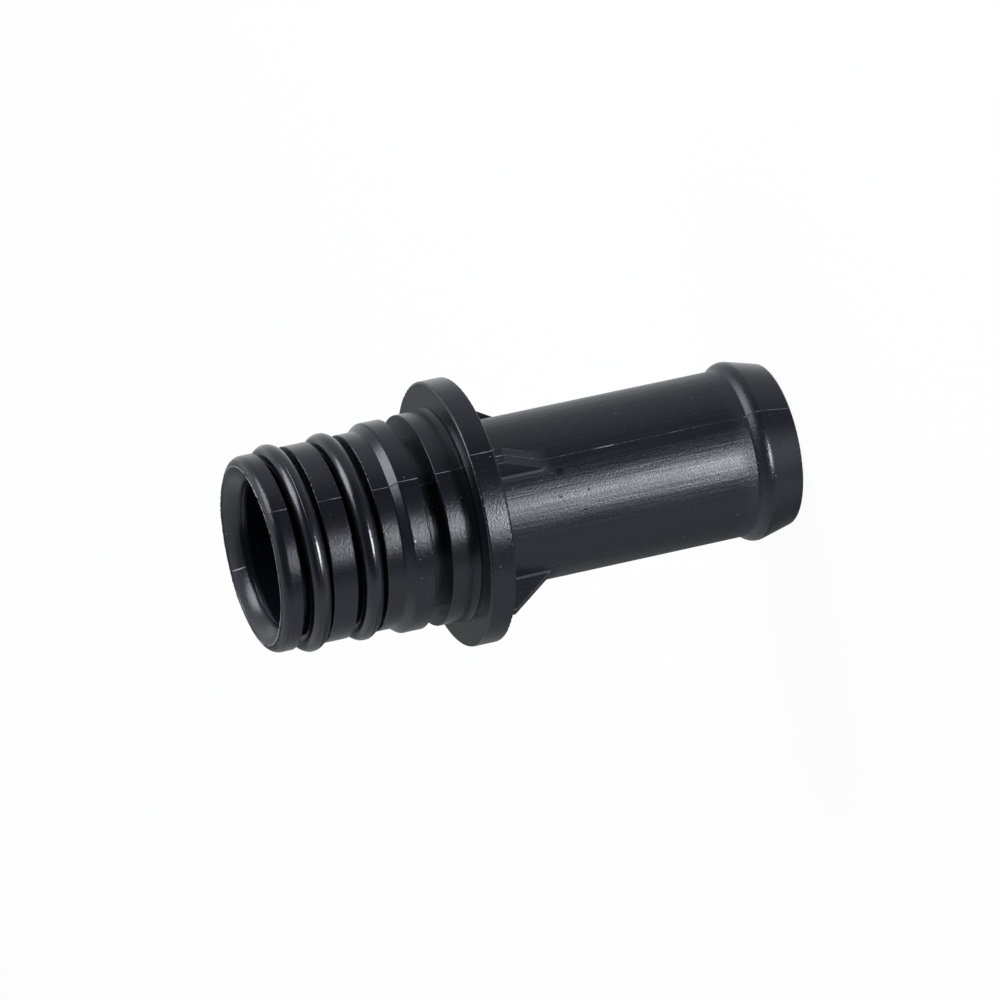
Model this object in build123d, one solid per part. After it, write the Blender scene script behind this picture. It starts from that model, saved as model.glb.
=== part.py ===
from build123d import *
from math import hypot
import os

# Hose barb tail: a push-in spigot with two O-rings, a groove for a retaining clip, a
# flange stiffened by four gussets, and a plain tube with one barb for a hose.
# It stands on the flat end of the hose tube, centred on the origin, with its axis on +Z.
# The mould closes on the XZ plane, so the two thick gussets lie along X and the two thin
# ones along Y.  All sizes are in millimetres.

# ---- bore and hose tube ----------------------------------------------------------
BORE_R = 10.7             # straight bore from end to end
TUBE_R = 12.7             # outside of the plain tube
END_R = 12.35             # outer radius of the end face, before its corner is rounded
END_ROUND = 0.45
MOUTH_ROUND = 0.3         # break on the bore's edge in the end face

# ---- barb ------------------------------------------------------------------------
BARB_POINT_R = 13.91      # where the long taper and the ramp would meet in a sharp edge
BARB_POINT_Z = 5.99
BARB_FOOT_Z = 7.28        # where the ramp comes down to the tube
BARB_CREST_ROUND = 1.8
BARB_FOOT_ROUND = 0.5

# ---- flange ----------------------------------------------------------------------
FLANGE_R = 20.07
FLANGE_Z = 48.94          # rear face, on the hose side
FLANGE_T = 3.91
FLANGE_ROUND = 0.35       # both corners of the rim
FLANGE_ROOT_ROUND = 0.4   # between the tube and the rear face

# ---- gussets behind the flange ---------------------------------------------------
GUSSET_LENGTH = 9.2       # along the tube, measured from the flange
GUSSET_LAND = 1.95        # straight part of the crest next to the flange
GUSSET_REACH = 17.65      # radius of the crest's straight part
GUSSET_T_PARTING = 2.65   # thickness of the two in the mould's parting plane
GUSSET_T_CROSS = 2.0      # thickness of the two square to it
GUSSET_CREST_ROUND = 0.25
GUSSET_ROOT = 0.8         # how far each one runs into the wall it stands on
GUSSET_ROOT_ROUND = 0.5   # hollow curve between each side and the tube

# ---- collar in front of the flange -----------------------------------------------
COLLAR_R = 15.95
COLLAR_L = 4.41           # from the flange's front face to the clip groove
COLLAR_SPREAD = 0.3       # the collar's foot is this much larger in radius
COLLAR_SPREAD_L = 1.19    # length of the hollow curve that leads to the foot
COLLAR_STEP = 0.18        # small straight step between the foot and the flange
COLLAR_EDGE = 0.12        # break on the front corner

# ---- groove for the retaining clip, and the shoulder in front of it --------------
CLIP_GROOVE_W = 2.67
CLIP_FLOOR_R = 12.9
SHOULDER_R = 15.84
SHOULDER_L = 3.02
SHOULDER_EDGE = 0.15
RAMP_L = 1.29             # slope from the shoulder down to the rear land
RAMP_ROUND = 0.5

# ---- sealing spigot --------------------------------------------------------------
REAR_LAND_R = 14.82
REAR_LAND_L = 2.67
MID_LAND_R = 14.80
MID_LAND_L = 3.76
NOSE_LAND_R = 14.75
NOSE_LAND_L = 3.12        # with the rounded lip
SEAL_GROOVE_W = 4.61
SEAL_FLOOR_R = 12.5
LAND_EDGE = 0.18          # break on the corners beside the seal grooves
LIP_L = 1.44              # rounding of the nose, along the axis
LIP_W = 1.3               # and across it
LIP_FLAT = 0.12           # narrow flat on the crest of the lip
FLARE_L = 2.28            # depth of the bell mouth that leads into the bore
FLARE_ROUND = 1.6

# ---- O-rings ---------------------------------------------------------------------
RING_SECTION = 3.1        # diameter of the rubber's round section
RING_CLEARANCE = 0.03     # gap left between the rubber and the floor of its groove
FRONT_RING_SHIFT = -0.30  # from the middle of the groove, towards the flange
REAR_RING_SHIFT = -0.10
FRONT_RING_TILT = 1.4     # degrees out of square, as each ring settles in its groove
REAR_RING_TILT = 0.9
RING_TILT_AXIS = -22.3    # direction of the line that both rings lean about

# ---- heights, worked out from the end face upwards -------------------------------
flange_front = FLANGE_Z + FLANGE_T
collar_top = flange_front + COLLAR_L
clip_top = collar_top + CLIP_GROOVE_W
shoulder_top = clip_top + SHOULDER_L
ramp_top = shoulder_top + RAMP_L
rear_land_top = ramp_top + REAR_LAND_L
rear_groove_top = rear_land_top + SEAL_GROOVE_W
mid_land_top = rear_groove_top + MID_LAND_L
front_groove_top = mid_land_top + SEAL_GROOVE_W
nose_top = front_groove_top + NOSE_LAND_L

# ---- points that two features share, as radius and height -------------------------
step_top = (COLLAR_R + COLLAR_SPREAD, flange_front + COLLAR_STEP)
spread_top = (COLLAR_R, step_top[1] + COLLAR_SPREAD_L)
lip_start = (NOSE_LAND_R, nose_top - LIP_L)
lip_crest = (NOSE_LAND_R - LIP_W, nose_top)
flare_top = (lip_crest[0] - LIP_FLAT, nose_top)
flare_foot = (BORE_R, nose_top - FLARE_L)


def rounded(face, corners):
    """Round corners of a flat section: a list of (radius, height) and rounding."""
    for (radius, height), size in corners:
        corner = face.vertices().sort_by_distance((radius, height))[0]
        face = fillet(corner, size)
    return face


def body_section():
    """Half section of the moulding: bore on the left, outer surface on the right."""
    hose_side = Polyline(
        flare_foot,
        (BORE_R, 0),
        (END_R, 0),
        (BARB_POINT_R, BARB_POINT_Z),
        (TUBE_R, BARB_FOOT_Z),
        (TUBE_R, FLANGE_Z),
        (FLANGE_R, FLANGE_Z),
        (FLANGE_R, flange_front),
        (step_top[0], flange_front),
        step_top,
    )
    spread = TangentArc(spread_top, step_top, tangent=(0, -1))
    spigot_side = Polyline(
        spread_top,
        (COLLAR_R, collar_top),
        (CLIP_FLOOR_R, collar_top),
        (CLIP_FLOOR_R, clip_top),
        (SHOULDER_R, clip_top),
        (SHOULDER_R, shoulder_top),
        (REAR_LAND_R, ramp_top),
        (REAR_LAND_R, rear_land_top),
        (SEAL_FLOOR_R, rear_land_top),
        (SEAL_FLOOR_R, rear_groove_top),
        (MID_LAND_R, rear_groove_top),
        (MID_LAND_R, mid_land_top),
        (SEAL_FLOOR_R, mid_land_top),
        (SEAL_FLOOR_R, front_groove_top),
        (NOSE_LAND_R, front_groove_top),
        lip_start,
    )
    lip = TangentArc(lip_start, lip_crest, tangent=(0, 1))
    mouth = Polyline(lip_crest, flare_top, flare_foot)
    face = make_face([hose_side, spread, spigot_side, lip, mouth])
    return rounded(face, [
        ((BORE_R, 0), MOUTH_ROUND),
        ((END_R, 0), END_ROUND),
        ((BARB_POINT_R, BARB_POINT_Z), BARB_CREST_ROUND),
        ((TUBE_R, BARB_FOOT_Z), BARB_FOOT_ROUND),
        ((TUBE_R, FLANGE_Z), FLANGE_ROOT_ROUND),
        ((FLANGE_R, FLANGE_Z), FLANGE_ROUND),
        ((FLANGE_R, flange_front), FLANGE_ROUND),
        ((COLLAR_R, collar_top), COLLAR_EDGE),
        ((SHOULDER_R, clip_top), SHOULDER_EDGE),
        ((SHOULDER_R, shoulder_top), RAMP_ROUND),
        ((REAR_LAND_R, ramp_top), RAMP_ROUND),
        ((REAR_LAND_R, rear_land_top), LAND_EDGE),
        ((MID_LAND_R, rear_groove_top), LAND_EDGE),
        ((MID_LAND_R, mid_land_top), LAND_EDGE),
        ((NOSE_LAND_R, front_groove_top), LAND_EDGE),
        (flare_foot, FLARE_ROUND),
    ])


def gusset(angle, thickness):
    """One gusset between the flange and the tube, turned round the axis."""
    root_r = TUBE_R - GUSSET_ROOT
    land_z = FLANGE_Z - GUSSET_LAND
    slope = (GUSSET_LENGTH - GUSSET_LAND) / (GUSSET_REACH - TUBE_R)
    foot_z = FLANGE_Z - GUSSET_LENGTH - GUSSET_ROOT * slope
    top_z = FLANGE_Z + GUSSET_ROOT
    side = make_face(Polyline(
        (root_r, top_z),
        (GUSSET_REACH, top_z),
        (GUSSET_REACH, land_z),
        (root_r, foot_z),
        close=True,
    ))
    plate = extrude(Plane.XZ * side, thickness / 2, both=True)
    # the crest's long edges lie outside the root and run along the plate
    crest = [
        edge for edge in plate.edges()
        if abs((edge % 0.5).Y) < 0.001 and edge.center().X > root_r + 0.1
        and edge.center().Z < top_z - 0.1
    ]
    plate = fillet(crest, GUSSET_CREST_ROUND)
    return Rot(0, 0, angle) * plate


def tail_body():
    """The one-piece moulding."""
    body = revolve(Plane.XZ * body_section(), Axis.Z)
    for angle, thickness in (
        (0, GUSSET_T_PARTING),
        (90, GUSSET_T_CROSS),
        (180, GUSSET_T_PARTING),
        (270, GUSSET_T_CROSS),
    ):
        body += gusset(angle, thickness)
    return fillet(gusset_roots(body), GUSSET_ROOT_ROUND)


def gusset_roots(body):
    """The eight straight edges where the gussets' sides meet the tube."""
    return [
        edge for edge in body.edges()
        if abs((edge % 0.5).Z) > 0.999
        and abs(hypot(edge.center().X, edge.center().Y) - TUBE_R) < 0.05
        and FLANGE_Z - GUSSET_LENGTH - 1 < edge.center().Z < FLANGE_Z
    ]


def o_ring(groove_top, shift, tilt):
    """A round-section rubber ring, stretched onto the floor of its groove."""
    height = groove_top - SEAL_GROOVE_W / 2 + shift
    middle_r = SEAL_FLOOR_R + RING_CLEARANCE + RING_SECTION / 2
    lean = Rot(0, 0, RING_TILT_AXIS) * Rot(tilt, 0, 0)
    return Pos(0, 0, height) * lean * Torus(middle_r, RING_SECTION / 2)


def save(name, shape):
    """Write one piece as parts/NAME.step."""
    export_step(shape, os.path.join("parts", name + ".step"))


os.makedirs("parts", exist_ok=True)
save("tail_body", tail_body())
save("front_o_ring", o_ring(front_groove_top, FRONT_RING_SHIFT, FRONT_RING_TILT))
save("rear_o_ring", o_ring(rear_groove_top, REAR_RING_SHIFT, REAR_RING_TILT))
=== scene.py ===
"""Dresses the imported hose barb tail: one black moulding with two rubber O-rings.

The CAD nodes stay as they are and take their finishes here.  The mould's fine flash, the
ragged edge left on the spigot's lip and the mould line of each O-ring are added as thin
pieces that follow the solids.  Everything is in metres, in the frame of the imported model.
"""

import logging
import math
import random
from collections.abc import Callable
from dataclasses import dataclass, field
from enum import Enum

import bpy
from mathutils import Euler, Matrix, Vector


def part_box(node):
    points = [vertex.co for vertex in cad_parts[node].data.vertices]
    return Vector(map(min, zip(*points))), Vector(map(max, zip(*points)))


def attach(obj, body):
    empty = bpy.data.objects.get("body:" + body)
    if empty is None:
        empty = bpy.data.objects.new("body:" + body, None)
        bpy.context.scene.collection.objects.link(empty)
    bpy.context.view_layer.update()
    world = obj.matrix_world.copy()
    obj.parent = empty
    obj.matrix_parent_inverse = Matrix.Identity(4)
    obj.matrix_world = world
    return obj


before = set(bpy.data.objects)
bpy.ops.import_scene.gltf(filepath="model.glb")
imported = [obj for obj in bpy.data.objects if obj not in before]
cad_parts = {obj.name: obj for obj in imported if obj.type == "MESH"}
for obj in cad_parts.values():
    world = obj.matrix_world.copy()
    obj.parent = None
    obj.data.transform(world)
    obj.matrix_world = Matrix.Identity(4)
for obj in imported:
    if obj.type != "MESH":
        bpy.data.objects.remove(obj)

log = logging.getLogger("hose_barb_tail")

MM = 0.001
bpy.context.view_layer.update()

# Places on the moulding that the finishes and the added pieces refer to, in millimetres.
TUBE_R = 12.7
CLIP_FLOOR_R = 12.9
SHOULDER_R = 15.8
MOUTH_R = 13.4
RING_INNER_LIMIT = 14.03
FLASH_INNER_LIMIT = 11.3
LIP_Z = 83.01
NOSE_Z = 79.9
RING_TILT_AXIS = -22.3
FRONT_RING_TILT = 1.4
REAR_RING_TILT = 0.9


def direction(azimuth: float, elevation: float) -> Vector:
    """The way out from the part in one direction.

    Args:
        azimuth: degrees round the axis.
        elevation: degrees above level.

    Returns:
        A vector of length 1.
    """
    turn, rise = math.radians(azimuth), math.radians(elevation)
    return Vector((math.cos(turn) * math.cos(rise), math.sin(turn) * math.cos(rise), math.sin(rise)))


# ---- shader graph ------------------------------------------------------------------


class Number:
    """A number in a shader graph that Python's operators act on."""

    def __init__(self, graph: "Graph", socket: bpy.types.NodeSocket) -> None:
        """Wraps an output socket.

        Args:
            graph: the graph that the socket's node belongs to.
            socket: the output that carries the number.
        """
        self.graph = graph
        self.socket = socket

    def math(self, operation: str, *others: "Number | float") -> "Number":
        """Adds one Math node with this number in its first socket.

        Args:
            operation: the Math node's operation.
            others: what goes in the sockets after the first.

        Returns:
            The node's result.
        """
        return self.graph.math(operation, self, *others)

    def __add__(self, other: "Number | float") -> "Number":
        """self + other."""
        return self.math("ADD", other)

    def __radd__(self, other: float) -> "Number":
        """other + self."""
        return self.graph.math("ADD", other, self)

    def __sub__(self, other: "Number | float") -> "Number":
        """self - other."""
        return self.math("SUBTRACT", other)

    def __rsub__(self, other: float) -> "Number":
        """other - self."""
        return self.graph.math("SUBTRACT", other, self)

    def __mul__(self, other: "Number | float") -> "Number":
        """self * other."""
        return self.math("MULTIPLY", other)

    def __truediv__(self, other: "Number | float") -> "Number":
        """self / other."""
        return self.math("DIVIDE", other)

    def __pow__(self, other: float) -> "Number":
        """self ** other."""
        return self.math("POWER", other)

    def __abs__(self) -> "Number":
        """abs(self)."""
        return self.math("ABSOLUTE")

    def clamped(self) -> "Number":
        """This number held between 0 and 1."""
        return self.graph.math("ADD", self, 0.0, clamp=True)


class Graph:
    """The node tree of one material or world, built from code."""

    def __init__(self, owner: bpy.types.Material | bpy.types.World) -> None:
        """Empties the owner's node tree.

        Args:
            owner: the material or world that the nodes belong to.
        """
        owner.use_nodes = True
        self.tree = owner.node_tree
        self.tree.nodes.clear()

    def node(
        self, kind: str, settings: dict | None = None, inputs: dict | None = None
    ) -> bpy.types.Node:
        """Adds any node.

        Args:
            kind: the node's type.
            settings: attributes, set before the sockets.
            inputs: socket name or number to a value, a Number or an output socket.

        Returns:
            The new node.
        """
        made = self.tree.nodes.new(kind)
        for name, value in (settings or {}).items():
            setattr(made, name, value)
        for key, value in (inputs or {}).items():
            self._feed(made.inputs[key], value)
        return made

    def _feed(self, socket: bpy.types.NodeSocket, value: object) -> None:
        """Links or sets one input socket.

        Args:
            socket: the input.
            value: a Number, an output socket, or a plain value.
        """
        if isinstance(value, Number):
            self.tree.links.new(value.socket, socket)
        elif isinstance(value, bpy.types.NodeSocket):
            self.tree.links.new(value, socket)
        else:
            socket.default_value = value

    def math(self, operation: str, *values: Number | float, clamp: bool = False) -> Number:
        """Adds a Math node.

        Args:
            operation: the node's operation.
            values: what goes in its sockets, in order.
            clamp: whether the result is held between 0 and 1.

        Returns:
            The result.
        """
        made = self.node(
            "ShaderNodeMath",
            {"operation": operation, "use_clamp": clamp},
            dict(enumerate(values)),
        )
        return Number(self, made.outputs[0])

    def step(self, value: Number, start: float, end: float) -> Number:
        """A smooth step of a number.

        Args:
            value: the number.
            start: where the result is 0.
            end: where the result is 1; it may be below start.

        Returns:
            A number from 0 to 1.
        """
        low, high, first, last = (start, end, 0.0, 1.0) if start < end else (end, start, 1.0, 0.0)
        made = self.node(
            "ShaderNodeMapRange",
            {"interpolation_type": "SMOOTHSTEP"},
            {"Value": value, "From Min": low, "From Max": high, "To Min": first, "To Max": last},
        )
        return Number(self, made.outputs["Result"])

    def mix_colour(self, share: Number | float, first: object, second: object) -> bpy.types.NodeSocket:
        """Mixes two colours.

        Args:
            share: how much of the second there is.
            first: a colour or a colour socket.
            second: a colour or a colour socket.

        Returns:
            The mixed colour's socket.
        """
        made = self.node("ShaderNodeMix", {"data_type": "RGBA"}, {0: share, 6: first, 7: second})
        return made.outputs[2]


@dataclass
class Place:
    """Where a point of the surface is, in millimetres round the part's axis."""

    graph: Graph
    point: bpy.types.NodeSocket = field(init=False)
    x: Number = field(init=False)
    y: Number = field(init=False)
    z: Number = field(init=False)
    radius: Number = field(init=False)
    angle: Number = field(init=False)

    def __post_init__(self) -> None:
        """Reads Object coordinates and works out radius and angle."""
        read = self.graph.node("ShaderNodeTexCoord").outputs["Object"]
        self.point = self.graph.node(
            "ShaderNodeVectorMath", {"operation": "SCALE"}, {0: read, "Scale": 1 / MM}
        ).outputs[0]
        parts = self.graph.node("ShaderNodeSeparateXYZ", inputs={0: self.point}).outputs
        self.x, self.y, self.z = (Number(self.graph, parts[i]) for i in range(3))
        self.radius = (self.x * self.x + self.y * self.y) ** 0.5
        self.angle = self.graph.math("ARCTAN2", self.y, self.x) * math.degrees(1.0)

    def noise(
        self, cells: float, stretch: tuple[float, float, float] = (1, 1, 1), detail: float = 2.0
    ) -> Number:
        """Noise over the surface.

        Args:
            cells: cells to a millimetre.
            stretch: factor on each axis, below 1 where the pattern is drawn out.
            detail: octaves.

        Returns:
            A number about 0.5.
        """
        mapped = self.graph.node(
            "ShaderNodeMapping", {"vector_type": "POINT"}, {"Vector": self.point, "Scale": stretch}
        ).outputs[0]
        made = self.graph.node(
            "ShaderNodeTexNoise",
            {"noise_dimensions": "3D"},
            {"Vector": mapped, "Scale": cells, "Detail": detail, "Roughness": 0.55},
        )
        return Number(self.graph, made.outputs[0])

    def specks(self, cells: float, size: float, share: float, shift: float = 0.0) -> Number:
        """Small round specks scattered over the surface.

        Args:
            cells: cells to a millimetre.
            size: radius of a speck, as a share of a cell.
            share: share of the cells that hold a speck.
            shift: moves the pattern, so that two of them differ.

        Returns:
            1 on a speck and 0 elsewhere.
        """
        moved = self.graph.node(
            "ShaderNodeVectorMath", {"operation": "ADD"}, {0: self.point, 1: (shift, shift, shift)}
        ).outputs[0]
        cell = self.graph.node(
            "ShaderNodeTexVoronoi", {"feature": "F1"}, {"Vector": moved, "Scale": cells}
        )
        drawn = Number(
            self.graph,
            self.graph.node("ShaderNodeSeparateColor", inputs={0: cell.outputs["Color"]}).outputs[0],
        )
        near = Number(self.graph, cell.outputs["Distance"])
        return self.graph.step(near, size, size * 0.6) * drawn.math("GREATER_THAN", 1 - share)

    def spot(self, angle: float, height: float, radius: float, across: float, along: float) -> Number:
        """One soft oval spot on the outer surface.

        Args:
            angle: direction from the axis, in degrees.
            height: height, in millimetres.
            radius: radius of the surface there, in millimetres.
            across: half size round the axis, in millimetres.
            along: half size along the axis, in millimetres.

        Returns:
            1 in the middle of the spot, falling to 0.
        """
        turn = math.radians(angle)
        side = self.y * math.cos(turn) - self.x * math.sin(turn)
        out = self.x * math.cos(turn) + self.y * math.sin(turn)
        far = (side / across) ** 2.0 + ((self.z - height) / along) ** 2.0
        return self.graph.step(far, 1.0, 0.35) * out.math("GREATER_THAN", radius * 0.8)

    def stroke(
        self, start: tuple[float, float], end: tuple[float, float], radius: float, half: float
    ) -> Number:
        """One thin straight mark drawn on the outer surface.

        Args:
            start: angle in degrees and height in millimetres of one end.
            end: the same of the other end.
            radius: radius of the surface there, in millimetres.
            half: half the mark's width, in millimetres.

        Returns:
            1 along the middle of the mark, falling to 0 at its edges.
        """
        arc = math.radians(radius)
        run = Vector(((end[0] - start[0]) * arc, end[1] - start[1]))
        across = (self.angle - start[0]) * arc
        along = self.z - start[1]
        share = (across * (run.x / run.length_squared) + along * (run.y / run.length_squared)).clamped()
        far = ((across - share * run.x) ** 2.0 + (along - share * run.y) ** 2.0) ** 0.5
        near_surface = self.graph.step(abs(self.radius - radius), 0.9, 0.6)
        return self.graph.step(far, half, half * 0.4) * near_surface


# ---- finishes ----------------------------------------------------------------------


@dataclass
class Zones:
    """The stretches of the moulding that are finished differently, as masks from 0 to 1."""

    place: Place
    tube: Number = field(init=False)
    ramp: Number = field(init=False)
    flare: Number = field(init=False)
    gusset: Number = field(init=False)
    lip: Number = field(init=False)

    def __post_init__(self) -> None:
        """Works the masks out from radius and height."""
        step = self.place.graph.step
        radius, z = self.place.radius, self.place.z
        outer = step(radius, 11.5, 12.0)
        self.tube = step(z, 6.5, 8.5) * step(z, 49.2, 48.9) * outer
        self.ramp = step(z, 5.4, 6.2) * step(z, 10.5, 7.2) * outer
        self.flare = step(radius, 13.3, 13.1)
        plates = step(abs(self.place.y), 2.4, 2.0) + step(abs(self.place.x), 2.1, 1.7)
        self.gusset = plates.clamped() * self.tube * step(z, 38.4, 39.6)
        self.lip = step(z, 82.1, 82.3)


@dataclass(frozen=True)
class MouldedPlastic:
    """Black glass-filled nylon, satin, with drag lines, grain and dust."""

    colour: tuple[float, float, float] = (0.0048, 0.0053, 0.0085)
    sheen: tuple[float, float, float] = (0.89, 0.92, 1.0)
    dust: tuple[float, float, float] = (0.42, 0.43, 0.45)
    land_gloss: float = 0.235
    tube_gloss: float = 0.34
    blasted_gloss: float = 0.41
    relief_depth: float = 0.026
    flare_foot: float = 80.73
    flare_length: float = 2.15
    flare_bulge: float = 0.24
    lip_line: float = 14.28

    def build(self) -> bpy.types.Material:
        """Makes the material.

        Returns:
            The finished material.
        """
        made = bpy.data.materials.new("moulded_plastic")
        graph = Graph(made)
        place = Place(graph)
        zones = Zones(place)

        grain = place.noise(2.9, detail=3.0)
        fine = place.noise(5.5, detail=2.0)
        drag = place.noise(1.9, stretch=(1, 1, 0.028), detail=4.0)
        dust = place.specks(1.3, 0.11, 0.045) + place.specks(0.7, 0.07, 0.06, shift=37.0)
        dust = (dust + place.specks(2.3, 0.15, 0.12, shift=11.0) * 0.4).clamped()
        stains = self._stains(place)
        nicks = self._nicks(place)
        flecks = self._flecks(place)

        gloss = self.land_gloss + zones.tube * (self.tube_gloss - self.land_gloss)
        gloss = gloss + zones.ramp * (self.blasted_gloss - self.tube_gloss)
        gloss = gloss + (grain - 0.5) * 0.14 + (drag - 0.5) * zones.tube * 0.30
        gloss = gloss + dust * 0.3 + zones.gusset * 0.22
        relief = (grain - 0.5) * (0.9 + zones.ramp * 1.2) + (fine - 0.5) * (0.6 + zones.ramp * 0.9)
        relief = relief + (drag - 0.5) * zones.tube * 1.6 - nicks * 0.6 - stains * 0.5 + flecks * 1.2
        crease = graph.step(abs(place.radius - self.lip_line), 0.13, 0.02) * zones.lip
        relief = relief + crease * 1.4
        normal = graph.node(
            "ShaderNodeBump",
            inputs={
                "Strength": 1.0, "Distance": self.relief_depth * MM, "Height": relief,
                "Normal": self._bell(place, zones),
            },
        ).outputs[0]
        shader = graph.node(
            "ShaderNodeBsdfPrincipled",
            inputs={
                "Base Color": self._tone(place, zones, dust, flecks), "Roughness": gloss.clamped(),
                "Normal": normal, "IOR": 1.5, "Specular Tint": [*self.sheen, 1],
            },
        ).outputs[0]
        dull = graph.node("ShaderNodeBsdfDiffuse", inputs={"Color": [*self.colour, 1]}).outputs[0]
        marked = (stains * 0.75 + nicks * 0.7).clamped()
        whole = graph.node("ShaderNodeMixShader", inputs={0: marked, 1: shader, 2: dull}).outputs[0]
        graph.node("ShaderNodeOutputMaterial", inputs={"Surface": whole})
        return made

    def _tone(self, place: Place, zones: Zones, dust: Number, flecks: Number) -> bpy.types.NodeSocket:
        """The plastic's colour: cloudy black, greyer on the barb's ramp, with dust on it.

        Args:
            place: the surface's place.
            zones: the stretches of the moulding.
            dust: 1 on a speck of dust.
            flecks: 1 on a pale fleck.

        Returns:
            The colour's socket.
        """
        graph = place.graph
        dark, light, grey = ([*(c * share for c in self.colour), 1] for share in (0.8, 1.2, 3.0))
        tone = graph.mix_colour(place.noise(0.12, detail=2.0), dark, light)
        tone = graph.mix_colour(zones.ramp * 0.5, tone, grey)
        tone = graph.mix_colour(dust * 0.5, tone, [*self.dust, 1])
        return graph.mix_colour(flecks * 0.8, tone, [*self.dust, 1])

    def _bell(self, place: Place, zones: Zones) -> bpy.types.NodeSocket:
        """The bell mouth's gentle bulge, between the bore and the crest of the lip.

        Args:
            place: the surface's place.
            zones: the stretches of the moulding.

        Returns:
            The bent normal's socket.
        """
        rise = ((place.z - self.flare_foot) / self.flare_length).clamped()
        height = rise * (1 - rise) * zones.flare * self.flare_bulge * 4.0
        return place.graph.node(
            "ShaderNodeBump", inputs={"Strength": 1.0, "Distance": MM, "Height": height}
        ).outputs[0]

    def _stains(self, place: Place) -> Number:
        """The few dark stains on the hose tube.

        Args:
            place: the surface's place.

        Returns:
            1 on a stain.
        """
        spots = (
            place.spot(-10.0, 37.7, TUBE_R, 0.62, 0.62),
            place.spot(-10.5, 34.8, TUBE_R, 0.34, 0.26) * 0.5,
            place.spot(-26.0, 34.0, TUBE_R, 0.24, 0.20),
            place.spot(-27.0, 38.5, TUBE_R, 0.20, 0.26),
            place.spot(-39.0, 35.0, TUBE_R, 0.18, 0.34),
        )
        total = spots[0]
        for spot in spots[1:]:
            total = total + spot
        return total.clamped()

    def _nicks(self, place: Place) -> Number:
        """The fine jagged split at the shoulder's edge and the small cuts below it.

        Args:
            place: the surface's place.

        Returns:
            1 in a nick.
        """
        split = (
            (-16.0, 60.30), (-20.0, 60.16), (-25.0, 60.34),
            (-31.0, 60.14), (-36.0, 60.28), (-41.0, 60.12),
        )
        total = place.stroke((-40.5, 58.9), (-41.0, 58.2), CLIP_FLOOR_R, 0.09)
        for angle in (-42.6, -44.2):
            total = total + place.stroke((angle, 58.9), (angle - 0.7, 58.0), CLIP_FLOOR_R, 0.08)
        for start, end in zip(split, split[1:]):
            total = total + place.stroke(start, end, SHOULDER_R, 0.09)
        return total.clamped()

    def _flecks(self, place: Place) -> Number:
        """The pale bruise on the shoulder and the far parting line's end on the bell mouth.

        Args:
            place: the surface's place.

        Returns:
            1 on a fleck.
        """
        inside = place.graph.step(place.radius, 13.2, 13.1)
        bruise = place.spot(-32.8, 62.55, SHOULDER_R, 0.16, 0.26)
        parting_end = place.spot(165.0, 82.05, 12.0, 0.12, 0.95) * inside
        return (bruise + parting_end).clamped()


@dataclass(frozen=True)
class FlashPlastic:
    """The thin film of plastic, whitening in places, that stands where the mould closes; on the lip's film
    its paler top band is painted highlight.
    """

    colour: tuple[float, float, float] = (0.020, 0.021, 0.025)
    whitened_and_highlight: tuple[float, float, float] = (0.30, 0.31, 0.34)
    gloss: float = 0.42
    share: float = 0.5
    paleness: float = 0.20
    wear_and_highlight_height: float = 29.4
    wear_and_highlight_reach: float = 3.0

    def build(self, name: str) -> bpy.types.Material:
        """Makes the material.

        Args:
            name: the material's name.

        Returns:
            The finished material.
        """
        made = bpy.data.materials.new(name)
        graph = Graph(made)
        place = Place(graph)
        patch = place.noise(0.9, detail=3.0)
        fine = place.noise(4.0, detail=2.0)
        # Paler band about one height: wear on the parting flash, and on the lip's film a painted highlight
        # along the lip's crest.
        wear_and_highlight = graph.step(abs(place.z - self.wear_and_highlight_height), self.wear_and_highlight_reach, 0.0)
        edge = 0.62 - self.share * 0.2
        bare = graph.step(patch + (fine - 0.5) * 0.5 + wear_and_highlight * 0.16, edge, edge + 0.10)
        pale = bare * (self.paleness + wear_and_highlight * 0.45)
        tone = graph.mix_colour(pale, [*self.colour, 1], [*self.whitened_and_highlight, 1])
        normal = graph.node(
            "ShaderNodeBump", inputs={"Strength": 0.5, "Distance": 0.012 * MM, "Height": fine}
        ).outputs[0]
        shader = graph.node(
            "ShaderNodeBsdfPrincipled",
            inputs={
                "Base Color": tone, "Roughness": (self.gloss + (fine - 0.5) * 0.3).clamped(),
                "Normal": normal, "IOR": 1.5,
            },
        ).outputs[0]
        graph.node("ShaderNodeOutputMaterial", inputs={"Surface": shader})
        return made


@dataclass(frozen=True)
class SealRubber:
    """Black nitrile rubber with a smooth moulded skin and dust."""

    colour: tuple[float, float, float] = (0.0048, 0.0054, 0.0080)
    sheen: tuple[float, float, float] = (0.89, 0.92, 1.0)
    dust: tuple[float, float, float] = (0.40, 0.41, 0.43)
    gloss: float = 0.21

    def build(self) -> bpy.types.Material:
        """Makes the material.

        Returns:
            The finished material.
        """
        made = bpy.data.materials.new("seal_rubber")
        graph = Graph(made)
        place = Place(graph)
        grain = place.noise(4.0, detail=3.0)
        dust = (place.specks(1.8, 0.10, 0.05) + place.specks(0.9, 0.05, 0.06, shift=19.0)).clamped()
        tone = graph.mix_colour(dust * 0.5, [*self.colour, 1], [*self.dust, 1])
        gloss = self.gloss + (grain - 0.5) * 0.12 + dust * 0.3
        normal = graph.node(
            "ShaderNodeBump", inputs={"Strength": 1.0, "Distance": 0.020 * MM, "Height": grain}
        ).outputs[0]
        shader = graph.node(
            "ShaderNodeBsdfPrincipled",
            inputs={
                "Base Color": tone, "Roughness": gloss.clamped(), "Normal": normal, "IOR": 1.56,
                "Specular Tint": [*self.sheen, 1],
            },
        ).outputs[0]
        graph.node("ShaderNodeOutputMaterial", inputs={"Surface": shader})
        return made


# ---- modelling ---------------------------------------------------------------------


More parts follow.
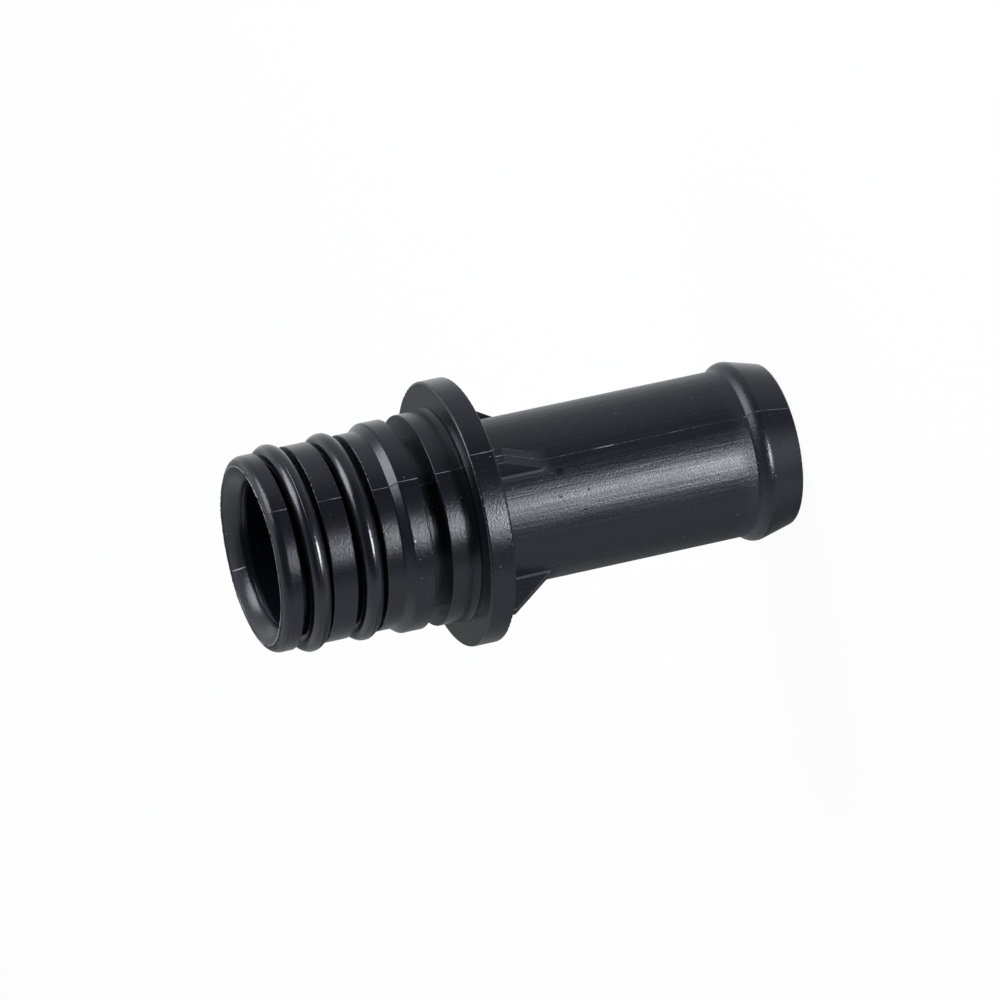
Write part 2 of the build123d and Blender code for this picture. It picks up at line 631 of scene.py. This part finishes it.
class Bench:
    """Edit-mode steps on one piece, with everything else deselected."""

    def __init__(self, piece: bpy.types.Object) -> None:
        """Makes the piece the only one selected.

        Args:
            piece: the mesh object to work on.
        """
        bpy.ops.object.select_all(action="DESELECT")
        piece.select_set(True)
        bpy.context.view_layer.objects.active = piece
        self.piece = piece

    def __enter__(self) -> "Bench":
        """Goes into edit mode with all selected."""
        bpy.ops.object.mode_set(mode="EDIT")
        bpy.ops.mesh.select_mode(type="VERT")
        bpy.ops.mesh.select_all(action="SELECT")
        return self

    def __exit__(self, *error: object) -> None:
        """Leaves edit mode."""
        bpy.ops.object.mode_set(mode="OBJECT")

    def pick(self, wanted: Callable[[Vector], bool]) -> None:
        """Selects the vertices that a test accepts.

        Args:
            wanted: a function of a vertex's place, in millimetres, that says yes or no.
        """
        bpy.ops.mesh.select_all(action="DESELECT")
        bpy.ops.object.mode_set(mode="OBJECT")
        for vertex in self.piece.data.vertices:
            vertex.select = bool(wanted(vertex.co / MM))
        bpy.ops.object.mode_set(mode="EDIT")

    def cut(
        self, place: tuple[float, float, float], normal: tuple[float, float, float], drop: str = ""
    ) -> None:
        """Cuts the piece with a plane.

        Args:
            place: a point of the plane, in millimetres.
            normal: the plane's normal.
            drop: "front" or "back" drops that side, and nothing is dropped without it.
        """
        bpy.ops.mesh.select_all(action="SELECT")
        bpy.ops.mesh.bisect(
            plane_co=[c * MM for c in place],
            plane_no=normal,
            use_fill=False,
            threshold=0.0001 * MM,
            clear_outer=drop == "front",
            clear_inner=drop == "back",
        )

    def drop(self, wanted: Callable[[Vector], bool]) -> None:
        """Deletes the vertices that a test accepts.

        Args:
            wanted: a function of a vertex's place, in millimetres, that says yes or no.
        """
        self.pick(wanted)
        bpy.ops.mesh.delete(type="VERT")


def merged_copy(node: bpy.types.Object, name: str) -> bpy.types.Object:
    """Copies a CAD node's mesh into a new piece and merges its loose triangles.

    Args:
        node: the CAD node's object.
        name: the new piece's name.

    Returns:
        The new piece.
    """
    piece = bpy.data.objects.new(name, node.data.copy())
    piece.data.materials.clear()
    bpy.context.scene.collection.objects.link(piece)
    with Bench(piece):
        bpy.ops.mesh.remove_doubles(threshold=0.0005 * MM)
        bpy.ops.mesh.customdata_custom_splitnormals_clear()
    return piece


def thicken(piece: bpy.types.Object, depth: float) -> None:
    """Gives a thin skin a closed thickness below its surface.

    Args:
        piece: the skin.
        depth: the thickness, in millimetres.
    """
    Bench(piece)
    wall = piece.modifiers.new("wall", "SOLIDIFY")
    wall.thickness = depth * MM
    wall.offset = -1.0
    bpy.ops.object.modifier_apply(modifier=wall.name)


def finish_piece(piece: bpy.types.Object, material: bpy.types.Material, slot: str) -> None:
    """Smooths a piece, dresses it and puts it on the part's body.

    Args:
        piece: the finished mesh.
        material: its material.
        slot: not used.
    """
    Bench(piece)
    bpy.ops.object.shade_smooth_by_angle(angle=math.radians(50))
    piece.data.materials.clear()
    piece.data.materials.append(material)
    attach(piece, "root")
    log.info("%s: %d faces", piece.name, len(piece.data.polygons))


class Side(Enum):
    """The two sides on which the mould's halves meet."""

    NEAR = 1
    FAR = -1


@dataclass
class TailBody:
    """The one-piece moulding: its finish, its parting flash and the flash on its lip."""

    node: bpy.types.Object
    material: bpy.types.Material
    flash_material: bpy.types.Material
    lip_material: bpy.types.Material
    slot: str = "moulded_plastic"
    flash_half_width: float = 0.085
    flash_height: float = 0.034
    flash_pitch: float = 0.6
    flash_sink: float = 0.012
    flash_depth: float = 0.06
    faint_share: float = 0.35
    faint_stretch: tuple[float, float] = (7.5, 39.5)
    torn_stretch: tuple[float, float] = (27.8, 30.8)
    film_radius: float = 13.39
    film_root: float = 0.03
    film_step: float = 0.04
    film_depth: float = 0.11
    film_low: float = 0.05
    film_swell: float = 0.22
    film_lean: float = 0.10
    film_points: int = 900

    def dress(self) -> None:
        """Gives the CAD node its finish."""
        self.node.data.materials.clear()
        self.node.data.materials.append(self.material)
        log.info("%s dressed", self.node.name)

    def parting_flash(self, side: Side) -> bpy.types.Object:
        """Makes the fine ridge where the mould's halves meet, on one side.

        Args:
            side: which side.

        Returns:
            The ridge.
        """
        way = side.value
        half = self.flash_half_width
        piece = merged_copy(self.node, f"parting_flash_{side.name.lower()}")
        draw = random.Random(5 if side is Side.NEAR else 9)
        with Bench(piece) as bench:
            bench.cut((0, half, 0), (0, 1, 0), drop="front")
            bench.cut((0, -half, 0), (0, 1, 0), drop="back")
            bench.cut((way * FLASH_INNER_LIMIT, 0, 0), (way, 0, 0), drop="back")
            bench.cut((0, 0, 0.3), (0, 0, 1), drop="back")
            bench.drop(lambda p: p.z > NOSE_Z and abs(p.x) < MOUTH_R)
            bench.cut((0, 0, 0), (0, 1, 0))
            for level in range(1, int(LIP_Z / self.flash_pitch)):
                bench.cut((0, 0, level * self.flash_pitch), (0, 0, 1))
        waves = [
            (draw.uniform(0.25, 1.6), draw.uniform(0, 6.3), draw.uniform(0.3, 1.0)) for _ in range(6)
        ]
        self._raise_middle(piece, waves)
        thicken(piece, self.flash_depth)
        finish_piece(piece, self.flash_material, self.slot)
        return piece

    def _raise_middle(self, piece: bpy.types.Object, waves: list[tuple[float, float, float]]) -> None:
        """Raises the middle of the strip by a height that varies along it.

        Args:
            piece: the strip.
            waves: rate, phase and size of each wave along the strip.
        """
        total = sum(size for _, _, size in waves)
        normals = [v.normal.copy() for v in piece.data.vertices]
        for vertex, normal in zip(piece.data.vertices, normals):
            place = vertex.co / MM
            if abs(place.y) > 1e-4:
                vertex.co -= normal * self.flash_sink * MM
                continue
            swell = sum(size * math.sin(rate * place.z + phase) for rate, phase, size in waves) / total
            on_tube = self.faint_stretch[0] < place.z < self.faint_stretch[1]
            torn = self.torn_stretch[0] < place.z < self.torn_stretch[1]
            share = self.faint_share if on_tube and not torn else 1.0
            vertex.co += normal * self.flash_height * share * (1.0 + 0.7 * swell) * MM

    def lip_flash(self) -> bpy.types.Object:
        """Makes the ragged film of plastic left standing on the crest of the lip.

        Returns:
            The film.
        """
        foot = LIP_Z - self.film_root
        bpy.ops.object.select_all(action="DESELECT")
        bpy.ops.mesh.primitive_circle_add(
            vertices=self.film_points,
            radius=self.film_radius * MM,
            fill_type="NOTHING",
            location=(0, 0, foot * MM),
        )
        piece = bpy.context.object
        piece.name = "lip_flash"
        draw = random.Random(21)
        with Bench(piece):
            for _ in range(2):
                bpy.ops.mesh.extrude_region_move(
                    TRANSFORM_OT_translate={"value": (0, 0, self.film_step * MM)}
                )
        bpy.ops.object.transform_apply(location=True, rotation=True, scale=True)
        rough = [draw.random() for _ in range(self.film_points)]
        for vertex in piece.data.vertices:
            x, y, z = vertex.co / MM
            level = round((z - foot) / self.film_step)
            if level == 0:
                continue
            turn = math.degrees(math.atan2(y, x))
            index = int((turn % 360) / 360 * self.film_points)
            swell = 0.5 + 0.5 * math.sin(turn * 0.09) * math.sin(turn * 0.031 + 1.0)
            ragged = sum(rough[(index + k) % self.film_points] for k in range(3)) / 3
            height = self.film_low + self.film_swell * swell * ragged
            lean = self.film_lean * (rough[(index * 7) % self.film_points] - 0.5)
            out = 1 + (lean * level / 2) / self.film_radius
            vertex.co = Vector((x * out, y * out, LIP_Z + height * (level - 1) + 0.004)) * MM
        thicken(piece, self.film_depth)
        finish_piece(piece, self.lip_material, self.slot)
        return piece


@dataclass
class SealRing:
    """One O-ring: its finish and the fine line left by its mould."""

    node: bpy.types.Object
    material: bpy.types.Material
    name: str
    offset: float
    tilt: float
    slot: str = "seal_rubber"
    half_width: float = 0.08
    height: float = 0.030
    sink: float = 0.012
    depth: float = 0.05

    def dress(self) -> None:
        """Gives the CAD node its finish."""
        self.node.data.materials.clear()
        self.node.data.materials.append(self.material)
        log.info("%s dressed", self.node.name)

    def mould_line(self) -> bpy.types.Object:
        """Makes the fine ridge round the ring, beside its crest.

        Returns:
            The ridge.
        """
        low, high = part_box(self.node.name)
        level = (low.z + high.z) / 2 / MM + self.offset
        piece = merged_copy(self.node, self.name)
        axis = direction(RING_TILT_AXIS, 0.0)
        upright = Matrix.Rotation(math.radians(self.tilt), 3, axis) @ Vector((0, 0, 1))
        centre = Vector((0, 0, level))
        with Bench(piece) as bench:
            bench.cut(tuple(centre + upright * self.half_width), tuple(upright), drop="front")
            bench.cut(tuple(centre - upright * self.half_width), tuple(upright), drop="back")
            bench.drop(lambda p: math.hypot(p.x, p.y) < RING_INNER_LIMIT)
            bench.cut(tuple(centre), tuple(upright))
        normals = [v.normal.copy() for v in piece.data.vertices]
        for vertex, normal in zip(piece.data.vertices, normals):
            middle = abs((vertex.co / MM - centre).dot(upright)) < 1e-3
            vertex.co += normal * (self.height if middle else -self.sink) * MM
        thicken(piece, self.depth)
        finish_piece(piece, self.material, self.slot)
        return piece


# ---- studio ------------------------------------------------------------------------


@dataclass(frozen=True)
class Softbox:
    """One rectangular lamp that faces the part."""

    name: str
    azimuth: float
    elevation: float
    distance: float
    width: float
    height: float
    radiance: float
    colour: tuple[float, float, float] = (0.985, 0.995, 1.0)

    def build(self, aim: Vector) -> None:
        """Makes the lamp.

        Args:
            aim: the point that it faces, in metres.
        """
        way = direction(self.azimuth, self.elevation)
        lamp = bpy.data.lights.new(self.name, "AREA")
        lamp.shape = "RECTANGLE"
        lamp.size, lamp.size_y = self.width, self.height
        lamp.energy = self.radiance * math.pi * self.width * self.height
        lamp.color = self.colour
        made = bpy.data.objects.new(self.name, lamp)
        made.location = aim + way * self.distance
        made.rotation_euler = way.to_track_quat("Z", "Y").to_euler()
        bpy.context.scene.collection.objects.link(made)


@dataclass(frozen=True)
class Lobe:
    """A soft round patch of the room that is brighter or darker than the rest."""

    azimuth: float
    elevation: float
    edge: float
    core: float

    def mask(self, graph: Graph, way: tuple[Number, Number, Number]) -> Number:
        """Where the patch is.

        Args:
            graph: the world's graph.
            way: the three parts of the direction looked in.

        Returns:
            1 in the middle of the patch, falling to 0 at its edge.
        """
        middle = direction(self.azimuth, self.elevation)
        toward = way[0] * middle.x + way[1] * middle.y + way[2] * middle.z
        return graph.step(toward, self.edge, self.core)


@dataclass(frozen=True)
class Room:
    """The soft room round the part: how bright it is on each side, before and behind."""

    colour: tuple[float, float, float] = (0.95, 0.97, 1.0)
    left: float = 0.68
    left_fade: float = 0.20
    left_high: float = 0.32
    right: float = 0.58
    behind: float = 0.36
    behind_high: float = 0.10
    far_loss: float = 0.46
    under_loss: float = 0.32
    front: float = 0.05
    front_low: float = 0.14
    front_top: float = 0.25
    bright_gain: float = 0.7
    dark_share: float = 0.62
    bright: Lobe = Lobe(-38.0, -52.0, 0.88, 0.995)
    dark: Lobe = Lobe(158.0, 14.0, 0.883, 0.985)

    def build(self) -> None:
        """Makes the world, dark towards the viewer and pale all round."""
        world = bpy.data.worlds.new("room")
        bpy.context.scene.world = world
        graph = Graph(world)
        way = graph.node("ShaderNodeTexCoord").outputs["Generated"]
        parts = graph.node("ShaderNodeSeparateXYZ", inputs={0: way}).outputs
        x, y, z = (Number(graph, parts[i]) for i in range(3))
        turn = graph.math("ARCTAN2", y, x) * math.degrees(1.0)
        under = graph.step(z, -0.266, -0.312)
        high = graph.step(z, 0.12, 0.42)
        on_left = graph.step(turn, -66.0, -86.0)
        on_right = graph.step(turn, 18.0, 62.0)
        fading = graph.step(turn, -84.0, -150.0)
        bright = self.bright.mask(graph, (x, y, z))
        dark = self.dark.mask(graph, (x, y, z))
        left = self.left - fading * (self.left_fade + under * self.under_loss)
        right = self._right_level(graph, turn, under, high)
        front = self.front + graph.step(z, -0.285, -0.335) * self.front_low
        front = front + graph.step(z, 0.72, 0.95) * self.front_top
        level = front * (1 - on_left - on_right) + left * on_left + right * on_right
        level = level + high * fading * on_left * self.left_high
        level = level * (1 - dark * self.dark_share) + bright * self.bright_gain
        shade = graph.node(
            "ShaderNodeBackground", inputs={"Color": [*self.colour, 1], "Strength": level}
        ).outputs[0]
        graph.node("ShaderNodeOutputWorld", inputs={"Surface": shade})

    def _right_level(self, graph: Graph, turn: Number, under: Number, high: Number) -> Number:
        """How bright the right side is, from beside the part to straight behind it.

        Args:
            graph: the world's graph.
            turn: the azimuth looked in, in degrees.
            under: 1 below the part.
            high: 1 high up.

        Returns:
            The brightness.
        """
        behind = graph.step(turn, 92.0, 138.0)
        far = graph.step(turn, 151.0, 164.0)
        gain = behind * (self.behind + high * self.behind_high)
        return self.right + gain - far * (self.far_loss + under * self.under_loss)


@dataclass
class Studio:
    """The floor, the lamps and the camera."""

    aim: Vector = field(default_factory=lambda: Vector((-0.2794, 0.5045, 43.629)) * MM)
    azimuth: float = -22.3
    elevation: float = 17.36
    distance: float = 892.6
    roll: float = -102.132
    lens: float = 216.0
    floor_size: float = 6.0
    floor_gap: float = 0.02

    def camera(self) -> None:
        """Makes the camera on its orbit, then rolls it."""
        back = direction(self.azimuth, self.elevation)
        lens = bpy.data.cameras.new("camera")
        lens.lens, lens.sensor_width = self.lens, 36.0
        lens.clip_start, lens.clip_end = 0.05, 20.0
        made = bpy.data.objects.new("camera", lens)
        upright = (-back).to_track_quat("-Z", "Y").to_matrix()
        made.matrix_world = Matrix.Translation(self.aim + back * self.distance * MM) @ (
            upright @ Euler((0, 0, math.radians(self.roll))).to_matrix()
        ).to_4x4()
        bpy.context.scene.collection.objects.link(made)
        bpy.context.scene.camera = made

    def floor(self) -> None:
        """Makes the pale floor that the part stands on.

        Glossy and shadow rays pass through it, so that the part's low sides show the room
        and the lamps below the floor's level reach the part.
        """
        bpy.ops.object.select_all(action="DESELECT")
        bpy.ops.mesh.primitive_plane_add(size=self.floor_size, location=(0, 0, -self.floor_gap * MM))
        made = bpy.context.object
        made.name = "floor"
        material = bpy.data.materials.new("pale_floor")
        graph = Graph(material)
        ray = graph.node("ShaderNodeLightPath").outputs
        seen = Number(graph, ray["Is Camera Ray"])
        passing = (Number(graph, ray["Is Glossy Ray"]) + Number(graph, ray["Is Shadow Ray"])).clamped()
        matte = graph.node("ShaderNodeBsdfDiffuse", inputs={"Color": (0.9, 0.9, 0.9, 1)}).outputs[0]
        white = graph.node("ShaderNodeEmission", inputs={"Color": (1, 1, 1, 1), "Strength": 1.0}).outputs[0]
        open_way = graph.node("ShaderNodeBsdfTransparent").outputs[0]
        lit = graph.node("ShaderNodeMixShader", inputs={0: seen * 0.95, 1: matte, 2: white}).outputs[0]
        whole = graph.node("ShaderNodeMixShader", inputs={0: passing, 1: lit, 2: open_way}).outputs[0]
        graph.node("ShaderNodeOutputMaterial", inputs={"Surface": whole})
        made.data.materials.append(material)

    def lamps(self) -> None:
        """Makes the softboxes: the low key with its weaker upper edge, and one from above."""
        for box in (
            Softbox("key_low", -35.5, -26.0, 0.6, 0.235, 0.08, 50.0),
            Softbox("key_high", -39.0, -15.1, 0.6, 0.18, 0.10, 2.1),
            Softbox("top", 60.0, 50.0, 0.7, 0.47, 0.42, 6.5),
        ):
            box.build(self.aim)


def main() -> None:
    """Builds the part's pieces and the studio, in order."""
    logging.basicConfig(level=logging.INFO, format="%(name)s: %(message)s")
    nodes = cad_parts
    body = TailBody(
        nodes["tail_body"],
        MouldedPlastic().build(),
        FlashPlastic().build("parting_flash"),
        # The lip's film is paler and palest at its top: whitened flash, and a painted highlight along the
        # lip's crest.
        FlashPlastic(share=0.9, paleness=0.6, wear_and_highlight_height=83.2, wear_and_highlight_reach=0.25).build("lip_flash"),
    )
    body.dress()
    for side in Side:
        body.parting_flash(side)
    body.lip_flash()
    rubber = SealRubber().build()
    rings = (("front_o_ring", 0.30, FRONT_RING_TILT), ("rear_o_ring", -0.35, REAR_RING_TILT))
    for name, offset, tilt in rings:
        ring = SealRing(nodes[name], rubber, f"{name}_mould_line", offset, tilt)
        ring.dress()
        ring.mould_line()
    studio = Studio()
    studio.camera()
    studio.floor()
    Room().build()
    studio.lamps()
    bpy.context.scene.view_settings.view_transform = "Standard"


if __name__ == "__main__":
    main()
